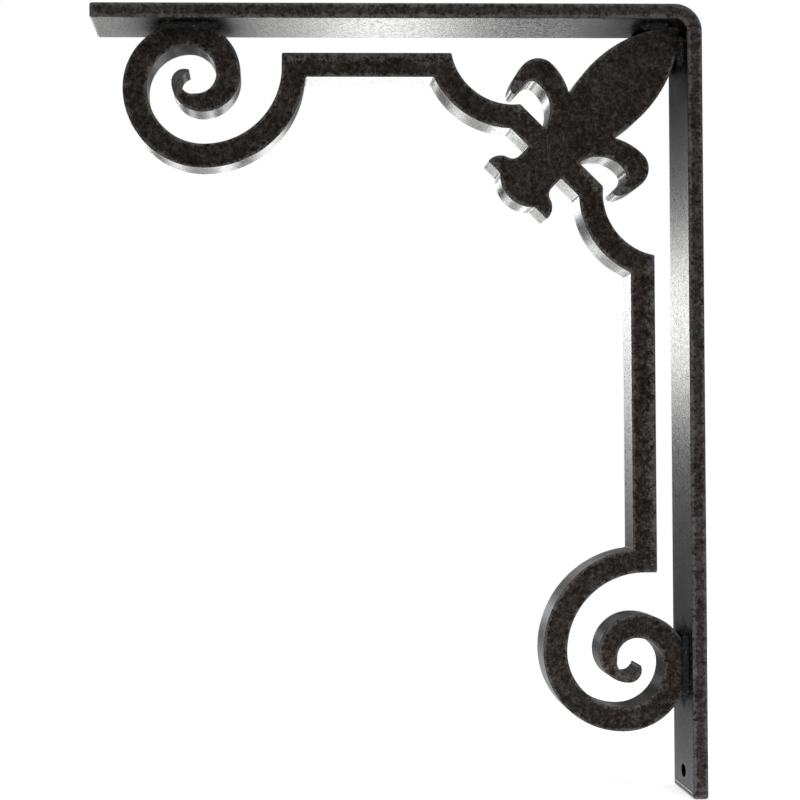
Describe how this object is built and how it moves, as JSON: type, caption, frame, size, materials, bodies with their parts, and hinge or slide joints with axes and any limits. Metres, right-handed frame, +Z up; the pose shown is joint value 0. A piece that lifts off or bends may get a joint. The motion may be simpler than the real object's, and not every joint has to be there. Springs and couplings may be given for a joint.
{
  "type": "wrought iron bracket",
  "caption": "Wrought iron shelf bracket: a flat bar bent square, braced by a cut scroll panel with a fleur-de-lis on the diagonal and a volute at each end, welded inside the bend.",
  "frame": {"origin": "the outer corner of the bend, where the wall plane and the plane of the shelf's underside would cross, in the middle of the bar's width", "axes": "+Z up, against the shelf; +X into the wall; the wall leg hangs down along -Z, the shelf leg runs out along -X, and Y is across the bar's width"},
  "size_m": [0.254, 0.0254, 0.3302],
  "materials": {
    "black_iron": "oiled black mill scale, satin on the faces and brighter on the cut sides",
    "weld_metal": "rough dark weld metal, speckled"
  },
  "bodies": {
    "root": {"bent_bar": "black_iron", "scroll_panel": "black_iron", "shelf_scroll_weld": "weld_metal", "wall_scroll_weld": "weld_metal", "corner_weld": "weld_metal"}
  },
  "joints": []
}
